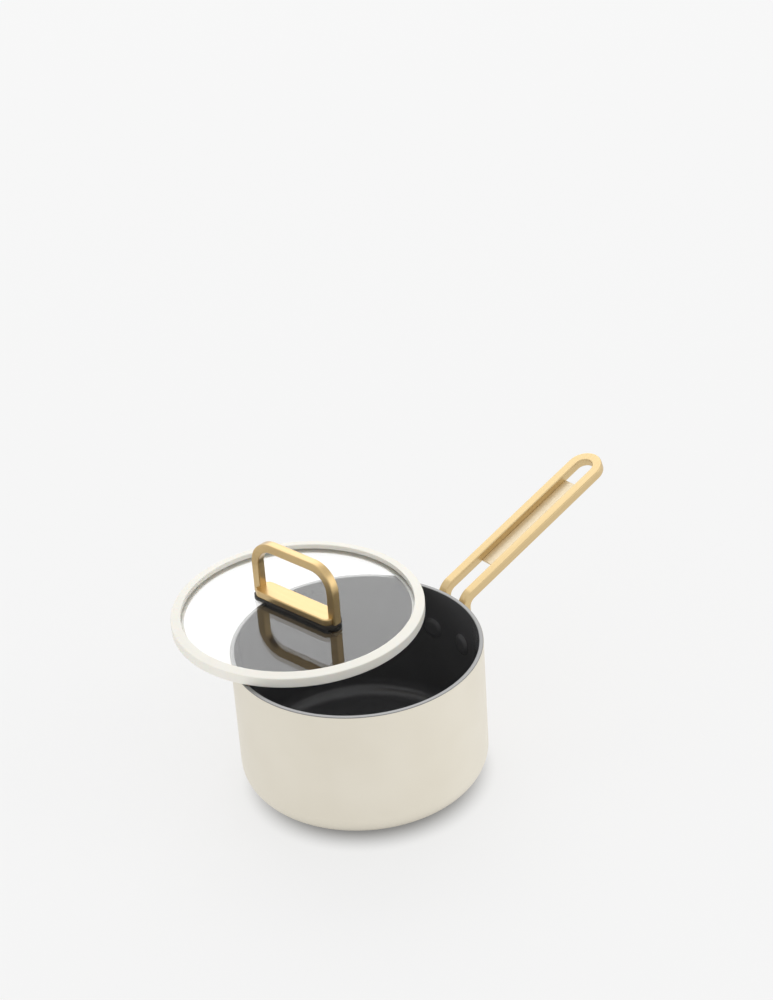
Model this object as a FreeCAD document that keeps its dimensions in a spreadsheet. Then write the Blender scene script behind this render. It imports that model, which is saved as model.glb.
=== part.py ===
"""Saucepan with a flat glass lid, resting ajar: a parametric FreeCAD document.

Row frame: origin at the centre of the base on the surface it stands on, +Z up, the pan handle
along +X.  The lid's own pieces are drawn about the lid's axis, with z = 0 at the underside of
its silicone rim, and one shared placement then sets them down on the pan.
"""
import FreeCAD, Part
import math
import os
import re
import Sketcher
from FreeCAD import Placement, Rotation, Vector

doc = FreeCAD.newDocument("saucepan")
sheet = doc.addObject("Spreadsheet::Sheet", "sizes")

# name, millimetres or degrees, what it is
SIZES = [
    ("pan_radius", 83.0, "outside of the coated wall"),
    ("pan_height", 96.5, "standing surface to rim"),
    ("wall", 3.0, "wall with its coat and lining"),
    ("floor_thick", 4.5, "floor with its lining"),
    ("base_round", 15.7, "outside radius from wall to base"),
    ("inner_round", 12.0, "inside radius from wall to floor"),
    ("coat_thick", 0.2, "exterior coat"),
    ("coat_lap", 3.0, "coat carried onto the flat of the base"),
    ("coat_edge", 0.5, "bare metal below the rim outside"),
    ("lining_thick", 0.2, "nonstick lining"),
    ("lining_edge", 0.4, "bare metal below the rim inside"),
    ("disc_margin", 9.3, "flat of the base left round the induction disc"),
    ("disc_thick", 1.6, "induction disc"),
    ("disc_proud", 0.4, "disc standing below the base"),
    ("disc_fit", 0.05, "radial clearance of the disc in its recess"),
    ("ring_first", 22.0, "radius of the innermost ring groove"),
    ("ring_pitch", 11.0, "step from one ring groove to the next"),
    ("ring_width", 1.2, "ring groove"),
    ("ring_depth", 0.3, "ring groove"),
    ("handle_long", 140.4, "pan wall to the far end of the handle, along the level"),
    ("handle_tilt", 19.5, "rise of the handle, degrees"),
    ("handle_rise", 1.2, "handle top line above the rim, at the wall"),
    ("handle_width", 26.4, "across both bars"),
    ("bar_width", 6.7, "one bar, across"),
    ("bar_thick", 6.2, "one bar, top to bottom"),
    ("bar_edge", 0.7, "rounding of the bars' long edges"),
    ("bend_radius", 12.0, "outside of the bend down to the wall"),
    ("leg_gap", 0.3, "bar to pan wall"),
    ("leg_drop", 25.0, "rim to the lower end of the bars"),
    ("bracket_thick", 3.0, "handle bracket"),
    ("bracket_width", 50.0, "handle bracket"),
    ("bracket_high", 30.0, "handle bracket"),
    ("bracket_drop", 14.0, "rim to the bracket's upper edge"),
    ("bracket_round", 9.0, "bracket corners"),
    ("rivet_below", 6.0, "lower end of the bars to the rivets"),
    ("rivet_angle", 10.5, "rivets either side of the handle, degrees about the pan axis"),
    ("rivet_radius", 3.0, "rivet shank"),
    ("rivet_fit", 0.05, "radial clearance of the shank"),
    ("rivet_head", 7.2, "radius of the head inside the pan"),
    ("rivet_head_high", 2.4, "head inside the pan"),
    ("rivet_dome", 2.25, "rounding of the head inside the pan"),
    ("rivet_tail", 5.0, "radius of the closed end on the bracket"),
    ("rivet_tail_high", 2.0, "closed end on the bracket"),
    ("rivet_tail_round", 1.4, "rounding of the closed end"),
    ("panel_near", 36.3, "pan wall to the near end of the handle panel"),
    ("panel_back", 22.9, "far end of the handle panel to the far end of the handle"),
    ("panel_thick", 1.4, "handle panel"),
    ("panel_fit", 0.05, "panel to bar, each side"),
    ("lid_over", 2.0, "silicone rim beyond the outside of the pan"),
    ("lid_rim_high", 7.1, "silicone rim at its outer edge"),
    ("lid_rim_crown", 1.3, "rise of its top towards the glass"),
    ("lid_rim_wall", 2.7, "silicone rim outside the edge of the glass"),
    ("lid_lip_over", 4.1, "upper lip over the glass"),
    ("lid_lip_under", 6.0, "lower lip under the glass"),
    ("lid_lip_thick", 0.9, "lower lip"),
    ("lid_rim_round", 0.8, "outer edges of the silicone rim"),
    ("glass_thick", 4.0, "lid glass"),
    ("glass_fit", 0.05, "glass to rim groove"),
    ("knob_length", 74.4, "lid handle, over its legs"),
    ("knob_height", 41.7, "lid handle, base to top"),
    ("knob_strap", 6.3, "lid handle, thickness of the strap"),
    ("knob_width", 6.4, "lid handle, width of the strap"),
    ("knob_round", 19.1, "lid handle, outside top corners"),
    ("knob_edge", 0.9, "rounding of the strap's long edges"),
    ("foot_length", 69.0, "foot plate of the lid handle"),
    ("foot_width", 15.2, "foot plate of the lid handle"),
    ("foot_thick", 4.4, "foot plate of the lid handle"),
    ("foot_round", 5.5, "corners of the foot plate"),
    ("gasket_thick", 2.7, "gasket under the foot plate"),
    ("gasket_over", 0.4, "gasket beyond the long sides of the foot plate"),
    ("gasket_short", 1.2, "gasket inside the outer faces of the legs"),
    ("gasket_round", 6.0, "corners of the gasket"),
    ("screw_inset", 3.6, "outer face of a leg to the screw's axis"),
    ("screw_radius", 1.75, "lid screw shank"),
    ("screw_deep", 12.0, "lid screw engaged in a leg"),
    ("screw_room", 1.0, "hole beyond the tip of a lid screw"),
    ("screw_fit", 0.05, "radial clearance of the lid screws"),
    ("screw_head", 3.2, "radius of the lid screw head"),
    ("screw_head_high", 2.1, "lid screw head"),
    ("drive_radius", 1.5, "radius of the six-sided drive recess across its corners"),
    ("drive_deep", 1.4, "drive recess"),
    ("bush_wall", 1.5, "sleeve round each lid screw"),
    ("washer_radius", 4.4, "steel washer under each screw head"),
    ("washer_thick", 1.0, "steel washer under each screw head"),
    ("pad_radius", 4.9, "silicone pad between washer and glass"),
    ("pad_thick", 1.2, "silicone pad between washer and glass"),
    ("lid_inset", 28.3, "outside of the pan to the lid axis, lid ajar"),
    ("lid_way", 95.1, "direction that the lid is moved in, degrees from the pan handle"),
    ("lid_turn", 97.6, "direction of the lid handle, degrees from the pan handle"),
    ("lid_gap", 0.2, "silicone rim above the pan rim"),
]
for row, (name, number, note) in enumerate(SIZES, start=1):
    sheet.set("A%d" % row, name)
    sheet.set("B%d" % row, str(number))
    sheet.set("C%d" % row, note)
    sheet.setAlias("B%d" % row, name)
doc.recompute()

NAMES = [name for name, number, note in SIZES]
AXIS_PULL = {"x": Vector(1, 0, 0), "y": Vector(0, 1, 0), "z": Vector(0, 0, 1)}
NEAR = 0.001
RIGHT_THROUGH = "2 * (pan_radius + handle_long + pan_height)"


def bound(words):
    """Turn 'pan_radius - wall' into an expression on the sheet's cells."""
    return re.sub(r"[a-z_]+", lambda word: "sizes." * (word[0] in NAMES) + word[0], words)


def worth(words):
    """Work the same words out as a number, for first guesses and to find edges."""
    return float(sheet.evalExpression(bound(words)))


def drive(thing, target, words):
    """Bind one property of a document object to the sheet."""
    thing.setExpression(target, bound(words))


# ---------------------------------------------------------------- sketches and features


def new_body(name):
    return doc.addObject("PartDesign::Body", name)


def new_sketch(body, name, plane):
    """Attach a sketch to one of the body's own origin planes."""
    sketch = body.newObject("Sketcher::SketchObject", name)
    role = plane + "_Plane"
    face = [feature for feature in body.Origin.OriginFeatures if feature.Role == role][0]
    sketch.AttachmentSupport = [(face, "")]
    sketch.MapMode = "FlatFace"
    return sketch


def pin_point(sketch, geometry, end, across, up):
    """Hold one point of a sketch at a place given in the sheet's words."""
    for kind, words, axis in (("DistanceX", across, -2), ("DistanceY", up, -1)):
        if words == "0":
            sketch.addConstraint(Sketcher.Constraint("PointOnObject", geometry, end, axis))
        else:
            guess = worth(words)
            index = sketch.addConstraint(Sketcher.Constraint(kind, -1, 1, geometry, end, guess))
            drive(sketch, "Constraints[%d]" % index, words)


def draw_outline(sketch, corners):
    """Draw a closed outline of straight lines through corners given as (across, up) words."""
    points = [Vector(worth(across), worth(up), 0) for across, up in corners]
    last = len(points) - 1
    for index, point in enumerate(points):
        following = points[0 if index == last else index + 1]
        sketch.addGeometry(Part.LineSegment(point, following), False)
    for index, (across, up) in enumerate(corners):
        before = last if index == 0 else index - 1
        sketch.addConstraint(Sketcher.Constraint("Coincident", before, 2, index, 1))
        pin_point(sketch, index, 1, across, up)


def draw_circle(sketch, across, up, radius):
    """Draw a circle with its centre and radius given in words."""
    centre = Vector(worth(across), worth(up), 0)
    circle = sketch.addGeometry(Part.Circle(centre, Vector(0, 0, 1), worth(radius)), False)
    pin_point(sketch, circle, 3, across, up)
    index = sketch.addConstraint(Sketcher.Constraint("Radius", circle, worth(radius)))
    drive(sketch, "Constraints[%d]" % index, radius)


def turned_body(name, corners, plane="XZ", axis="V_Axis"):
    """Revolve an outline about an axis of its sketch, into a body of its own."""
    body = new_body(name)
    sketch = new_sketch(body, name + "_section", plane)
    draw_outline(sketch, corners)
    turn = body.newObject("PartDesign::Revolution", name + "_turned")
    turn.Profile = sketch
    turn.ReferenceAxis = (sketch, [axis])
    turn.Angle = 360
    doc.recompute()
    return body


def pad(body, sketch, length, both_ways=False):
    feature = body.newObject("PartDesign::Pad", sketch.Name + "_pad")
    feature.Profile = sketch
    feature.SideType = "Symmetric" if both_ways else "One side"
    drive(feature, "Length", length)
    doc.recompute()
    return feature


def cut_through(body, sketch):
    """Pocket a sketch right through the body both ways, and make sure that it took metal away."""
    before = body.Shape.Volume
    feature = body.newObject("PartDesign::Pocket", sketch.Name + "_pocket")
    feature.Profile = sketch
    feature.SideType = "Symmetric"
    feature.Type = "Length"
    drive(feature, "Length", RIGHT_THROUGH)
    doc.recompute()
    if body.Shape.Volume > before - NEAR:
        raise RuntimeError(feature.Name + " cut nothing")
    return feature


def round_edges(body, name, radius, wanted):
    """Fillet the edges of the body's tip for which wanted(edge) is true."""
    tip = body.Tip
    picked = ["Edge%d" % number for number, edge in enumerate(tip.Shape.Edges, start=1) if wanted(edge)]
    if not picked:
        raise RuntimeError(name + " found no edges")
    fillet = body.newObject("PartDesign::Fillet", name)
    fillet.Base = (tip, picked)
    drive(fillet, "Radius", radius)
    doc.recompute()
    return fillet


def hoop(radius, height, axis="z"):
    """Say whether an edge is the full circle of this radius, this far along an axis."""
    wanted_radius = worth(radius)
    wanted_height = worth(height)

    def test(edge):
        if not isinstance(edge.Curve, Part.Circle):
            return False
        along = edge.Curve.Center.dot(AXIS_PULL[axis])
        same_radius = abs(edge.Curve.Radius - wanted_radius) < NEAR
        return same_radius and abs(along - wanted_height) < NEAR

    return test


def runs_along(axis):
    """Say whether an edge is a straight line along an axis."""

    def test(edge):
        if not isinstance(edge.Curve, Part.Line):
            return False
        return abs(abs(edge.Curve.Direction.dot(AXIS_PULL[axis])) - 1) < NEAR

    return test


def boolean(kind, name, base, tool):
    result = doc.addObject("Part::" + kind, name)
    result.Base = base
    result.Tool = tool
    return result


def compound(name, members):
    group = doc.addObject("Part::Compound", name)
    group.Links = members
    return group


def mirrored(name, source, normal):
    copy = doc.addObject("Part::Mirroring", name)
    copy.Source = source
    copy.Normal = normal
    return copy


# ---------------------------------------------------------------- the pan

RIM = "pan_height"
METAL_OUT = "pan_radius - coat_thick"
DISC_EDGE = "(pan_radius - base_round - disc_margin)"
RIVET_HEIGHT = "pan_height - leg_drop - rivet_below"
PAST_RIVETS = "pan_radius + bracket_thick + rivet_tail_high"
METAL_IN = "pan_radius - wall + lining_thick"
INSIDE = "pan_radius - wall"
FLOOR_METAL = "disc_proud + floor_thick - lining_thick"
FLOOR_TOP = "disc_proud + floor_thick"


def rivet_bores():
    """Both rivet bores as solids, for the holes of every layer that the rivets pass."""
    body = new_body("rivet_bore")
    sketch = new_sketch(body, "rivet_bore_circle", "YZ")
    draw_circle(sketch, "0", RIVET_HEIGHT, "rivet_radius + rivet_fit")
    pad(body, sketch, PAST_RIVETS)
    drive(body, "Placement.Rotation.Angle", "rivet_angle")
    return compound("rivet_bores", [body, mirrored("rivet_bore_left", body, Vector(0, 1, 0))])


def vessel(bores):
    corners = [
        ("0", "disc_thick"), (DISC_EDGE + " + disc_fit", "disc_thick"),
        (DISC_EDGE + " + disc_fit", "disc_proud"), (METAL_OUT, "disc_proud"),
        (METAL_OUT, RIM), (METAL_IN, RIM), (METAL_IN, FLOOR_METAL), ("0", FLOOR_METAL),
    ]
    body = turned_body("vessel", corners)
    round_edges(body, "vessel_base_round", "base_round - coat_thick", hoop(METAL_OUT, "disc_proud"))
    round_edges(body, "vessel_floor_round", "inner_round", hoop(METAL_IN, FLOOR_METAL))
    return boolean("Cut", "pan_body", body, bores)


def exterior_coat(bores):
    start = "pan_radius - base_round - coat_lap"
    under = "disc_proud - coat_thick"
    corners = [
        (start, under), ("pan_radius", under), ("pan_radius", "pan_height - coat_edge"),
        (METAL_OUT, "pan_height - coat_edge"), (METAL_OUT, "disc_proud"), (start, "disc_proud"),
    ]
    body = turned_body("coat", corners)
    round_edges(body, "coat_outer_round", "base_round", hoop("pan_radius", under))
    round_edges(body, "coat_inner_round", "base_round - coat_thick", hoop(METAL_OUT, "disc_proud"))
    return boolean("Cut", "exterior_coat", body, bores)


def nonstick_lining(bores):
    top = "pan_height - lining_edge"
    corners = [
        ("0", FLOOR_METAL), (METAL_IN, FLOOR_METAL), (METAL_IN, top),
        (INSIDE, top), (INSIDE, FLOOR_TOP), ("0", FLOOR_TOP),
    ]
    body = turned_body("lining", corners)
    round_edges(body, "lining_outer_round", "inner_round", hoop(METAL_IN, FLOOR_METAL))
    round_edges(body, "lining_inner_round", "inner_round - lining_thick", hoop(INSIDE, FLOOR_TOP))
    return boolean("Cut", "nonstick_lining", body, bores)


def induction_disc():
    """A steel disc let into the base, with ring grooves turned in its underside."""
    corners = [("0", "0")]
    grooves = int(worth("floor((%s - ring_first - ring_width) / ring_pitch)" % DISC_EDGE))
    for number in range(grooves + 1):
        inner = "ring_first + %d * ring_pitch" % number
        outer = inner + " + ring_width"
        corners += [(inner, "0"), (inner, "ring_depth"), (outer, "ring_depth"), (outer, "0")]
    corners += [(DISC_EDGE, "0"), (DISC_EDGE, "disc_thick"), ("0", "disc_thick")]
    return turned_body("induction_disc", corners)


# ---------------------------------------------------------------- the pan handle

# The handle's own slope: u runs along it from the pan axis, v stands square to it.  The top
# line of the bars passes handle_rise above the rim where it meets the wall.
ALONG = "(%s) / cos(handle_tilt)"
WALL_TOP = "pan_height + handle_rise"
LEG_FACE = "pan_radius + leg_gap"
HANDLE_END = "pan_radius + handle_long"


def tilt_sketch(sketch):
    """Lay an XY sketch in the plane of the bars' top faces, its own x along the handle."""
    sketch.AttachmentOffset = Placement(Vector(), Rotation(Vector(0, -1, 0), worth("handle_tilt")))
    drive(sketch, "AttachmentOffset.Rotation.Angle", "handle_tilt")
    drive(sketch, "AttachmentOffset.Base.z", WALL_TOP + " - pan_radius * tan(handle_tilt)")


def bar_profile(body):
    """Side view of one bar: up the wall, round the bend, then straight out along the slope."""
    sketch = new_sketch(body, "bar_side", "XZ")
    foot = "pan_height - leg_drop"
    top_line = WALL_TOP + " + (%s - pan_radius) * tan(handle_tilt)"
    under_line = top_line + " - bar_thick / cos(handle_tilt)"
    leg_out = LEG_FACE + " + bar_thick"
    end_top = HANDLE_END + " + bar_width"
    corners = [
        (LEG_FACE, foot), (leg_out, foot), (leg_out, under_line % ("(%s)" % leg_out)),
        (end_top, under_line % ("(%s)" % end_top)), (end_top, top_line % ("(%s)" % end_top)),
        (LEG_FACE, top_line % ("(%s)" % LEG_FACE)),
    ]
    draw_outline(sketch, corners)
    return sketch


def across_at(where_x, where_z):
    """Say whether an edge runs across the handle, square to its side view, at this place."""
    straight = runs_along("y")
    x_value = worth(where_x)
    z_value = worth(where_z)

    def test(edge):
        if not straight(edge):
            return False
        point = edge.Vertexes[0].Point
        return abs(point.x - x_value) < NEAR and abs(point.z - z_value) < NEAR

    return test


def pan_handle():
    """Two square bars and the bow that joins them, bent from one length."""
    body = new_body("handle_bars")
    pad(body, bar_profile(body), "handle_width", both_ways=True)

    top_corner = WALL_TOP + " + leg_gap * tan(handle_tilt)"
    under_corner = WALL_TOP + " + (leg_gap + bar_thick) * tan(handle_tilt) - bar_thick / cos(handle_tilt)"
    round_edges(body, "bend_outside", "bend_radius", across_at(LEG_FACE, top_corner))
    inside = across_at(LEG_FACE + " + bar_thick", under_corner)
    round_edges(body, "bend_inside", "bend_radius - bar_thick", inside)

    # The slot between the bars ends in a half round, and so does the outside of the bow.
    slot_half = "(handle_width / 2 - bar_width)"
    bow_centre = ALONG % HANDLE_END + " - handle_width / 2"
    slot = new_sketch(body, "bar_slot", "XY")
    tilt_sketch(slot)
    draw_bow(slot, bow_centre, slot_half)
    cut_through(body, slot)

    trim = new_sketch(body, "bow_outside", "XY")
    tilt_sketch(trim)
    draw_bow_trim(trim, bow_centre)
    cut_through(body, trim)
    round_edges(body, "bar_edges", "bar_edge", long_edge)

    # The bars lap over the bracket, so their backs are cut to its outer face.
    seat = doc.addObject("Part::Cylinder", "bracket_seat")
    drive(seat, "Radius", "pan_radius + bracket_thick")
    drive(seat, "Height", "pan_height - bracket_drop")
    return boolean("Cut", "pan_handle", body, seat)


def long_edge(edge):
    """Say whether an edge follows a bar: up the wall, along the slope, or round a bend."""
    if isinstance(edge.Curve, Part.Circle):
        return True
    slope = math.radians(worth("handle_tilt"))
    uphill = Vector(math.cos(slope), 0, math.sin(slope))
    straight = isinstance(edge.Curve, Part.Line)
    return straight and (runs_along("z")(edge) or abs(abs(edge.Curve.Direction.dot(uphill)) - 1) < NEAR)


def draw_bow(sketch, centre, half):
    """A slot from the pan axis: straight sides at +half and -half, a half round at centre."""
    x_centre = worth(centre)
    y_half = worth(half)
    low = Vector(0, -y_half, 0)
    high = Vector(0, y_half, 0)
    sketch.addGeometry(Part.LineSegment(Vector(x_centre, y_half, 0), high), False)
    sketch.addGeometry(Part.LineSegment(high, low), False)
    sketch.addGeometry(Part.LineSegment(low, Vector(x_centre, -y_half, 0)), False)
    round_end = Part.ArcOfCircle(Part.Circle(Vector(x_centre, 0, 0), Vector(0, 0, 1), y_half),
                                 -math.pi / 2, math.pi / 2)
    sketch.addGeometry(round_end, False)
    for first, first_end, second, second_end in ((0, 2, 1, 1), (1, 2, 2, 1)):
        sketch.addConstraint(Sketcher.Constraint("Coincident", first, first_end, second, second_end))
    sketch.addConstraint(Sketcher.Constraint("Tangent", 2, 2, 3, 1))
    sketch.addConstraint(Sketcher.Constraint("Tangent", 3, 2, 0, 1))
    sketch.addConstraint(Sketcher.Constraint("Horizontal", 0))
    sketch.addConstraint(Sketcher.Constraint("Horizontal", 2))
    sketch.addConstraint(Sketcher.Constraint("Vertical", 1))
    pin_point(sketch, 3, 3, centre, "0")
    index = sketch.addConstraint(Sketcher.Constraint("Radius", 3, y_half))
    drive(sketch, "Constraints[%d]" % index, half)
    sketch.addConstraint(Sketcher.Constraint("PointOnObject", 1, 1, -2))


def draw_bow_trim(sketch, centre):
    """Everything beyond the bow's outer half round, as a square with that half round bitten out."""
    half = "handle_width / 2"
    far = centre + " + handle_width * 2"
    wide = "handle_width"
    x_centre = worth(centre)
    y_half = worth(half)
    corners = [(x_centre, -y_half), (x_centre, -worth(wide)), (worth(far), -worth(wide)),
               (worth(far), worth(wide)), (x_centre, worth(wide)), (x_centre, y_half)]
    for (x_from, y_from), (x_to, y_to) in zip(corners, corners[1:]):
        sketch.addGeometry(Part.LineSegment(Vector(x_from, y_from, 0), Vector(x_to, y_to, 0)), False)
    arc = Part.ArcOfCircle(Part.Circle(Vector(x_centre, 0, 0), Vector(0, 0, 1), y_half),
                           -math.pi / 2, math.pi / 2)
    bite = sketch.addGeometry(arc, False)
    for line in range(4):
        sketch.addConstraint(Sketcher.Constraint("Coincident", line, 2, line + 1, 1))
    sketch.addConstraint(Sketcher.Constraint("Coincident", 0, 1, bite, 1))
    sketch.addConstraint(Sketcher.Constraint("Coincident", 4, 2, bite, 2))
    pin_point(sketch, bite, 3, centre, "0")
    pin_point(sketch, 0, 1, centre, "-1 * (%s)" % half)
    sketch.addConstraint(Sketcher.Constraint("Vertical", 4))
    pin_point(sketch, 1, 1, centre, "-1 * %s" % wide)
    pin_point(sketch, 2, 1, far, "-1 * %s" % wide)
    pin_point(sketch, 3, 1, far, wide)
    pin_point(sketch, 4, 1, centre, wide)


def handle_panel():
    """A thin strip welded between the bars, flush with their undersides."""
    body = new_body("handle_panel")
    sketch = new_sketch(body, "panel_outline", "XY")
    tilt_sketch(sketch)
    drive(sketch, "AttachmentOffset.Base.z",
          WALL_TOP + " - pan_radius * tan(handle_tilt) - bar_thick / cos(handle_tilt)")
    half = "(handle_width / 2 - bar_width - panel_fit)"
    near = ALONG % "pan_radius + panel_near"
    far = ALONG % (HANDLE_END + " - panel_back")
    draw_outline(sketch, [(near, "-1 * " + half), (far, "-1 * " + half), (far, half), (near, half)])
    pad(body, sketch, "panel_thick")
    return body


def handle_bracket(bores):
    """A plate curved to the wall, with rounded corners, that carries the bars."""
    body = new_body("bracket_plate")
    sketch = new_sketch(body, "bracket_block", "YZ")
    half = "bracket_width / 2"
    top = "pan_height - bracket_drop"
    foot = top + " - bracket_high"
    draw_outline(sketch, [("-1 * " + half, foot), (half, foot), (half, top), ("-1 * " + half, top)])
    pad(body, sketch, PAST_RIVETS)
    round_edges(body, "bracket_corners", "bracket_round", runs_along("x"))
    outer = doc.addObject("Part::Cylinder", "bracket_outside")
    inner = doc.addObject("Part::Cylinder", "bracket_inside")
    drive(outer, "Radius", "pan_radius + bracket_thick")
    drive(inner, "Radius", "pan_radius")
    for cylinder in (outer, inner):
        drive(cylinder, "Height", "pan_height")
    shell = boolean("Cut", "bracket_shell", outer, inner)
    plate = boolean("Common", "bracket_curved", shell, body)
    return boolean("Cut", "handle_bracket", plate, bores)


def handle_rivets():
    """Two solid rivets: a low domed head inside the pan, the closed end on the bracket."""
    head_face = "sqrt((pan_radius - wall) ^ 2 - rivet_head ^ 2)"
    tail_face = "pan_radius + bracket_thick"
    head_top = head_face + " - rivet_head_high"
    tail_top = tail_face + " + rivet_tail_high"
    corners = [
        (head_top, "0"), (head_top, "rivet_head"), (head_face, "rivet_head"), (head_face, "rivet_radius"),
        (tail_face, "rivet_radius"), (tail_face, "rivet_tail"), (tail_top, "rivet_tail"), (tail_top, "0"),
    ]
    body = turned_body("rivet", corners, axis="H_Axis")
    round_edges(body, "rivet_head_round", "rivet_dome", hoop("rivet_head", head_top, "x"))
    round_edges(body, "rivet_closed_end", "rivet_tail_round", hoop("rivet_tail", tail_top, "x"))
    drive(body, "Placement.Base.z", RIVET_HEIGHT)
    drive(body, "Placement.Rotation.Angle", "rivet_angle")
    return compound("handle_rivets", [body, mirrored("rivet_left", body, Vector(0, 1, 0))])


# ---------------------------------------------------------------- the lid, about its own axis

LID_EDGE = "pan_radius + lid_over"
GLASS_EDGE = LID_EDGE + " - lid_rim_wall"
GLASS_TOP = "lid_lip_thick + glass_thick"
PLATE_FOOT = GLASS_TOP + " + gasket_thick"
SCREW_LINE = "knob_length / 2 - screw_inset"
LID_SHIFT = "(pan_radius - lid_inset)"


def lid_rim():
    """Silicone rim: a channel that holds the edge of the glass."""
    top = "lid_rim_high"
    upper = GLASS_EDGE + " - lid_lip_over"
    lower = GLASS_EDGE + " - lid_lip_under"
    channel = GLASS_EDGE + " + glass_fit"
    corners = [
        (lower, "0"), (LID_EDGE, "0"), (LID_EDGE, top), (upper, top + " + lid_rim_crown"),
        (upper, GLASS_TOP), (channel, GLASS_TOP), (channel, "lid_lip_thick"), (lower, "lid_lip_thick"),
    ]
    body = turned_body("lid_rim", corners)
    round_edges(body, "rim_outer_top", "lid_rim_round", hoop(LID_EDGE, top))
    round_edges(body, "rim_outer_foot", "lid_rim_round", hoop(LID_EDGE, "0"))
    return body


def screw_pair(name, radius, foot, height):
    """A pair of upright cylinders on the two lid screw axes."""
    right = doc.addObject("Part::Cylinder", name + "_right")
    drive(right, "Radius", radius)
    drive(right, "Height", height)
    drive(right, "Placement.Base.x", SCREW_LINE)
    drive(right, "Placement.Base.z", foot)
    return compound(name, [right, mirrored(name + "_left", right, Vector(1, 0, 0))])


def ring_pair(name, outer, inner, foot, height):
    """A pair of rings on the two lid screw axes."""
    outside = screw_pair(name + "_outside", outer, foot, height)
    inside = screw_pair(name + "_inside", inner, foot, height)
    return boolean("Cut", name, outside, inside)


SHANK_HOLE = "screw_radius + screw_fit"
BUSH_OUT = "screw_radius + screw_fit + bush_wall"


def lid_glass():
    disc = doc.addObject("Part::Cylinder", "glass_disc")
    drive(disc, "Radius", GLASS_EDGE)
    drive(disc, "Height", "glass_thick")
    drive(disc, "Placement.Base.z", "lid_lip_thick")
    holes = screw_pair("glass_holes", BUSH_OUT + " + glass_fit", "0", PLATE_FOOT)
    return boolean("Cut", "lid_glass", disc, holes)


def strap_outline(sketch, half_length, top, foot):
    draw_outline(sketch, [("-1 * " + half_length, foot), (half_length, foot),
                          (half_length, top), ("-1 * " + half_length, top)])


def lid_handle():
    """The lid handle: a flat strap bent to an arch, one piece with its foot plate."""
    arch = new_body("knob_arch")
    outside = new_sketch(arch, "arch_outside", "XZ")
    top = PLATE_FOOT + " + knob_height"
    strap_outline(outside, "knob_length / 2", top, PLATE_FOOT)
    pad(arch, outside, "knob_width", both_ways=True)
    crown = upper_corner(top)
    round_edges(arch, "arch_corners", "knob_round", crown)
    inside = new_sketch(arch, "arch_inside", "XZ")
    window_top = top + " - knob_strap"
    strap_outline(inside, "(knob_length / 2 - knob_strap)", window_top, PLATE_FOOT + " - foot_thick")
    cut_through(arch, inside)
    round_edges(arch, "arch_window_corners", "knob_round - knob_strap", upper_corner(window_top))
    round_edges(arch, "arch_edges", "knob_edge", arch_edge)

    plate = new_body("knob_foot")
    outline = new_sketch(plate, "foot_outline", "XY")
    drive(outline, "AttachmentOffset.Base.z", PLATE_FOOT)
    strip_outline(outline, "foot_length / 2", "foot_width / 2")
    pad(plate, outline, "foot_thick")
    round_edges(plate, "foot_corners", "foot_round", runs_along("z"))
    foot_top = worth(PLATE_FOOT + " + foot_thick")
    round_edges(plate, "foot_edge", "knob_edge", lambda edge: level_at(edge, foot_top))
    whole = boolean("Fuse", "knob_whole", arch, plate)
    holes = screw_pair("knob_holes", SHANK_HOLE, GLASS_TOP, "gasket_thick + screw_deep + screw_room")
    return boolean("Cut", "lid_handle", whole, holes)


def level_at(edge, height):
    """Say whether an edge lies wholly at one height."""
    return all(abs(vertex.Point.z - height) < NEAR for vertex in edge.Vertexes)


def upper_corner(height):
    """Pick the cross edges of the arch at one height."""
    wanted = worth(height)
    return lambda edge: runs_along("y")(edge) and level_at(edge, wanted)


def arch_edge(edge):
    """Pick the long edges on both sides of the strap, not those at its feet."""
    if runs_along("y")(edge):
        return False
    return not level_at(edge, worth(PLATE_FOOT))


def strip_outline(sketch, half_long, half_wide):
    left = "-1 * (%s)" % half_long
    near = "-1 * (%s)" % half_wide
    draw_outline(sketch, [(left, near), (half_long, near), (half_long, half_wide), (left, half_wide)])


def lid_gasket():
    body = new_body("gasket_sheet")
    outline = new_sketch(body, "gasket_outline", "XY")
    drive(outline, "AttachmentOffset.Base.z", GLASS_TOP)
    strip_outline(outline, "knob_length / 2 - gasket_short", "foot_width / 2 + gasket_over")
    pad(body, outline, "gasket_thick")
    round_edges(body, "gasket_corners", "gasket_round", runs_along("z"))
    holes = screw_pair("gasket_holes", SHANK_HOLE, "0", PLATE_FOOT + " + foot_thick")
    return boolean("Cut", "lid_gasket", body, holes)


PAD_FOOT = "lid_lip_thick - pad_thick"
WASHER_FOOT = PAD_FOOT + " - washer_thick"


def lid_screws():
    """Two pan head screws, driven up from beneath into the legs of the handle."""
    shanks = screw_pair("screw_shanks", "screw_radius", WASHER_FOOT,
                        GLASS_TOP + " + gasket_thick + screw_deep - (" + WASHER_FOOT + ")")
    heads = screw_pair("screw_heads", "screw_head", WASHER_FOOT + " - screw_head_high", "screw_head_high")
    whole = boolean("Fuse", "screw_blanks", shanks, heads)
    recess = doc.addObject("Part::Prism", "drive_recess")
    recess.Polygon = 6
    drive(recess, "Circumradius", "drive_radius")
    drive(recess, "Height", "drive_deep")
    drive(recess, "Placement.Base.x", SCREW_LINE)
    drive(recess, "Placement.Base.z", WASHER_FOOT + " - screw_head_high")
    recesses = compound("drive_recesses", [recess, mirrored("drive_recess_left", recess, Vector(1, 0, 0))])
    return boolean("Cut", "lid_screws", whole, recesses)


def lid_washers():
    return ring_pair("lid_washers", "washer_radius", SHANK_HOLE, WASHER_FOOT, "washer_thick")


def lid_pads():
    return ring_pair("lid_pads", "pad_radius", SHANK_HOLE, PAD_FOOT, "pad_thick")


def lid_bushes():
    return ring_pair("lid_bushes", BUSH_OUT, SHANK_HOLE, "lid_lip_thick", "glass_thick")


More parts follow.
